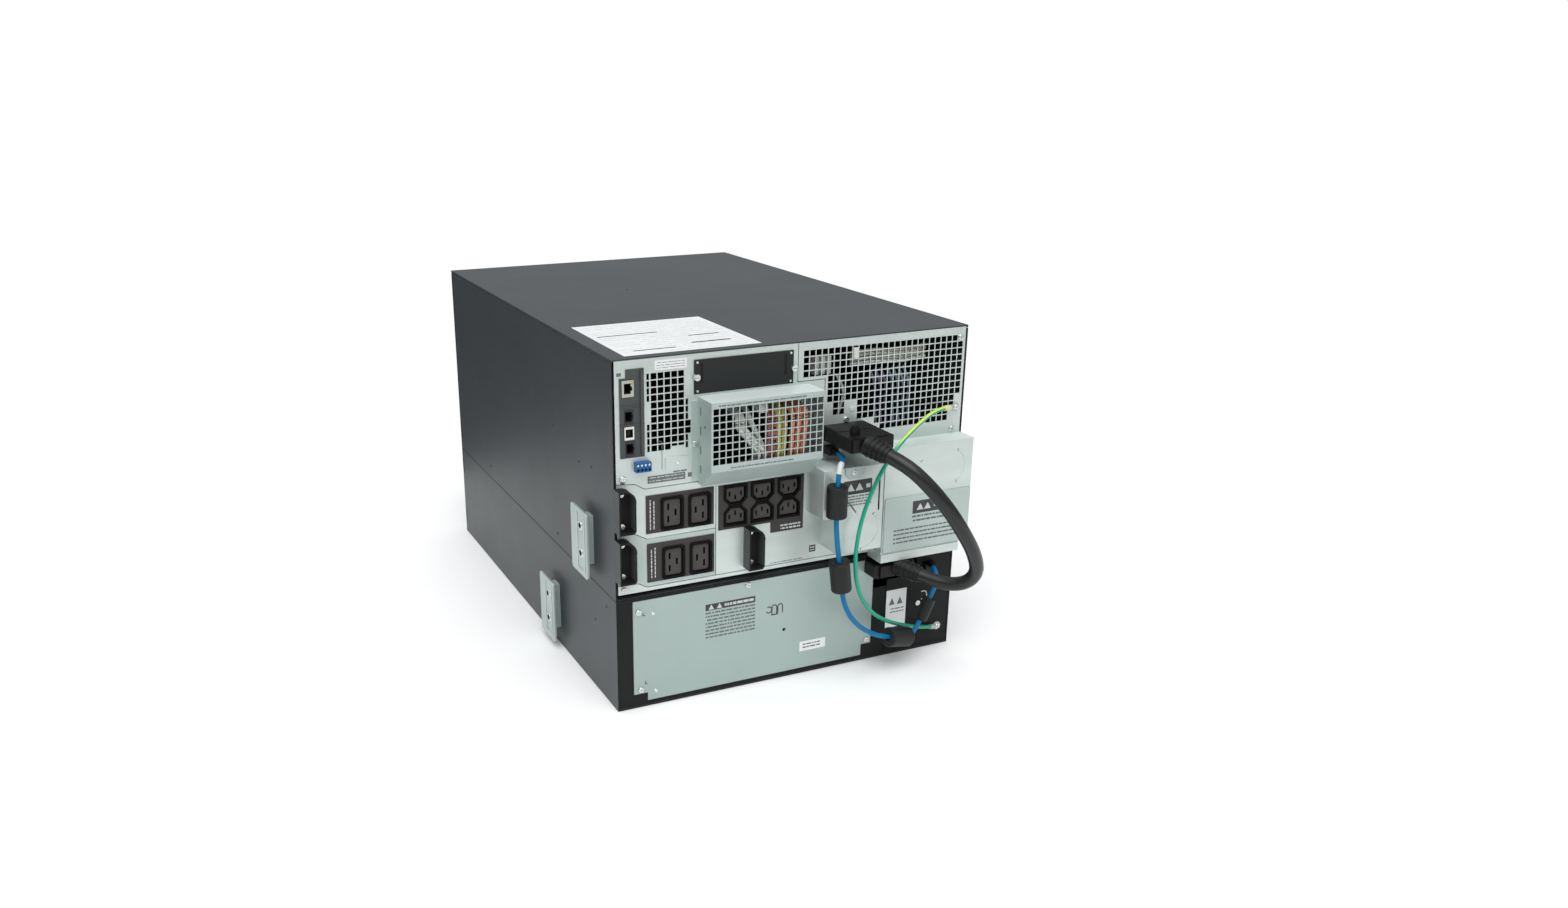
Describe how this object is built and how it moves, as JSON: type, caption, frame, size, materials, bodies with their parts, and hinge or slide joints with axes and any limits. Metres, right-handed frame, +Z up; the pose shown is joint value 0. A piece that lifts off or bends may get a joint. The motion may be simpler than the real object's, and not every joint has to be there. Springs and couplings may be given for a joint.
{
  "type": "rackmount ups",
  "caption": "Rack power unit standing on its battery pack, with perforated rear panels, power outlets, conduit boxes, a wiring cage and joining leads.",
  "frame": {"origin": "centre of the base of the steel shells, on the surface they stand on", "axes": "+Z up, -Y is the front with the display, +Y is the rear with outlets and leads, +X is the left side seen from behind"},
  "size_m": [0.456, 0.7855, 0.393],
  "materials": {
    "shell_black": "satin powder coat",
    "zinc": "satin zinc plate",
    "dark_plate": "matte",
    "outlet_black": "fine moulded",
    "port_metal": "satin",
    "port_black": "fine moulded",
    "terminal_blue": "fine moulded",
    "screw_steel": "bright zinc",
    "wire_white": "satin",
    "wire_brown": "satin",
    "wire_yellow": "satin",
    "wire_orange": "satin",
    "cable_black": "satin",
    "wire_green": "satin",
    "cable_blue": "satin",
    "ferrite": "matte",
    "plug_black": "fine moulded",
    "bezel_black": "textured",
    "pod_black": "gloss",
    "key_grey": "satin",
    "fan_black": "fine moulded",
    "board_green": "solder mask",
    "battery_grey": "matte"
  },
  "bodies": {
    "cabinet": {"battery_cable": "cable_black", "battery_plug": "plug_black", "battery_receptacle": "plug_black", "c13_plate": "dark_plate", "c13_sockets_lower": "outlet_black", "c13_sockets_upper": "outlet_black", "c19_plates": "dark_plate", "c19_sockets_lower": "outlet_black", "c19_sockets_upper": "outlet_black", "comms_faceplate": "dark_plate", "conduit_box_large": "zinc", "conduit_box_small": "zinc", "conduit_cover_plate": "zinc", "cord_bracket_1": "dark_plate", "cord_bracket_2": "dark_plate", "cord_bracket_3": "dark_plate", "fan_frames": "fan_black", "ferrite_cores": "ferrite", "ground_lugs": "screw_steel", "ground_wire": "wire_green", "io_jacks": "port_black", "knockouts": "zinc", "network_jack": "port_metal", "outlet_panel_lower": "zinc", "outlet_panel_right": "zinc", "outlet_panel_upper": "zinc", "output_terminals": "port_black", "output_wire_brown": "wire_brown", "output_wire_orange": "wire_orange", "output_wire_yellow": "wire_yellow", "output_wires_white": "wire_white", "pack_batteries": "battery_grey", "pack_bezel": "bezel_black", "pack_chassis": "shell_black", "pack_connector_panel": "dark_plate", "pack_plug": "plug_black", "pack_rear_plate": "zinc", "pack_receptacle": "plug_black", "power_board": "board_green", "rail_brackets": "zinc", "rear_panel": "zinc", "rear_screws": "screw_steel", "rear_vent_panel": "zinc", "signal_cable": "cable_blue", "signal_plugs": "plug_black", "slot_cover": "dark_plate", "terminal_block": "terminal_blue", "thumbscrews": "screw_steel", "ups_batteries": "battery_grey", "ups_bezel": "bezel_black", "ups_chassis": "shell_black", "ups_top_cover": "shell_black", "usb_port": "port_metal", "wiring_cover": "zinc"},
    "display": {"display_pod": "pod_black"},
    "power_key": {"power_button": "key_grey"},
    "up_key": {"key_up": "key_grey"},
    "down_key": {"key_down": "key_grey"},
    "fan_1": {"fan_rotor_1": "fan_black"},
    "fan_2": {"fan_rotor_2": "fan_black"}
  },
  "joints": [
    {"name": "display_tilt", "type": "hinge", "parent": "cabinet", "child": "display", "pos_m": [0, -0.335, 0.365], "axis": [-1, 0, 0], "range_deg": [0, 45]},
    {"name": "power_button_press", "type": "slide", "parent": "display", "child": "power_key", "axis": [0, 1, 0], "range_m": [0, 0.0012], "stiffness_N_per_m": 300},
    {"name": "key_up_press", "type": "slide", "parent": "display", "child": "up_key", "axis": [0, 1, 0], "range_m": [0, 0.0012], "stiffness_N_per_m": 300},
    {"name": "key_down_press", "type": "slide", "parent": "display", "child": "down_key", "axis": [0, 1, 0], "range_m": [0, 0.0012], "stiffness_N_per_m": 300},
    {"name": "fan_1_spin", "type": "hinge", "parent": "cabinet", "child": "fan_1", "pos_m": [-0.075, 0.033, 0.335], "axis": [0, 1, 0], "continuous": true},
    {"name": "fan_2_spin", "type": "hinge", "parent": "cabinet", "child": "fan_2", "pos_m": [0.075, 0.033, 0.335], "axis": [0, 1, 0], "continuous": true}
  ]
}
